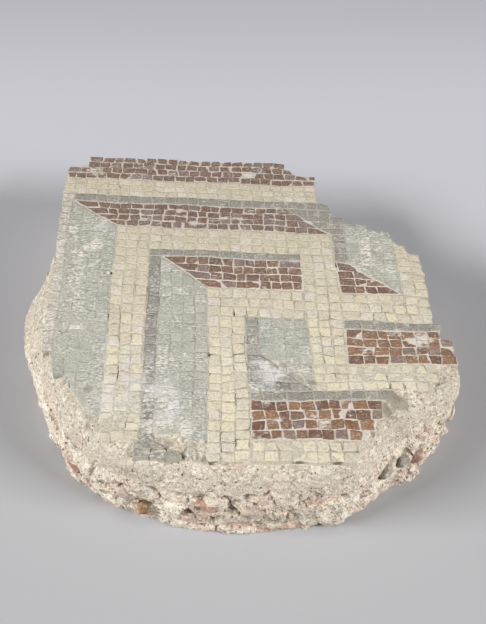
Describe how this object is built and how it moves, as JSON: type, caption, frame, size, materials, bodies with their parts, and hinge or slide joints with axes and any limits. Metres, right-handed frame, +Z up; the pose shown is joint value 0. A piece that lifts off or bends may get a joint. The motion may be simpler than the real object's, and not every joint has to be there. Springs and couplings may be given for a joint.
{
  "type": "mosaic panel",
  "caption": "Broken fragment of a tessellated floor: stone tesserae in a meander pattern, set in fine mortar on a rubble mortar bed, lying face up.",
  "frame": {"origin": "middle of the underside, on the surface that the fragment lies on", "axes": "+Z up out of the tessera faces, +Y towards the back edge with the red border, +X to the right along the courses"},
  "size_m": [0.3552, 0.3872, 0.0642],
  "materials": {
    "rubble_mortar": "coarse broken lime mortar with crushed brick, pits and small stones",
    "bedding_mortar": "fine sandy lime mortar, worn and dusty",
    "pebble": "rounded stone with a thin lime crust",
    "brick": "crushed fired brick, matt and porous",
    "rubble_stone": "broken grey stone with mortar on it",
    "red_tesserae": "red-brown limestone, cut by hand, matt with a lime bloom",
    "cream_tesserae": "cream limestone, worn smooth and dusty",
    "grey_tesserae": "grey limestone, worn and dusty",
    "violet_grey_tesserae": "violet-grey stone with a white lime haze",
    "green_tesserae": "pale grey-green marble with white flecks, worn and crusted"
  },
  "bodies": {
    "root": {"rubble_mortar": "rubble_mortar", "bedding_mortar": "bedding_mortar", "brown_pebble": "pebble", "pink_stone": "pebble", "brick_chip_left": "brick", "brick_chip_front": "brick", "brick_chip_right": "brick", "grey_stone_front": "rubble_stone", "grey_stone_right": "rubble_stone", "flat_stone_right": "rubble_stone", "red_border": "red_tesserae", "cream_border": "cream_tesserae", "pale_column_left": "cream_tesserae", "grey_line_back": "grey_tesserae", "red_bar_back": "red_tesserae", "grey_corner_right": "grey_tesserae", "cream_bar_back": "cream_tesserae", "green_field_left": "green_tesserae", "cream_column_left": "cream_tesserae", "grey_line_inner": "grey_tesserae", "grey_column_inner": "violet_grey_tesserae", "red_bar_inner": "red_tesserae", "green_band_inner": "green_tesserae", "grey_remnant_front": "grey_tesserae", "cream_bar_middle": "cream_tesserae", "cream_column_middle": "cream_tesserae", "grey_column_middle": "violet_grey_tesserae", "green_block_middle": "green_tesserae", "grey_patch_middle": "violet_grey_tesserae", "grey_line_front": "grey_tesserae", "red_bar_front": "red_tesserae", "cream_bar_front": "cream_tesserae", "cream_column_right": "cream_tesserae", "cream_bar_front_right": "cream_tesserae", "grey_column_right": "grey_tesserae", "green_field_right": "green_tesserae", "red_wedge_right": "red_tesserae", "cream_column_far_right": "cream_tesserae", "cream_bar_right": "cream_tesserae", "grey_line_right": "grey_tesserae", "red_bar_right": "red_tesserae"}
  },
  "joints": []
}
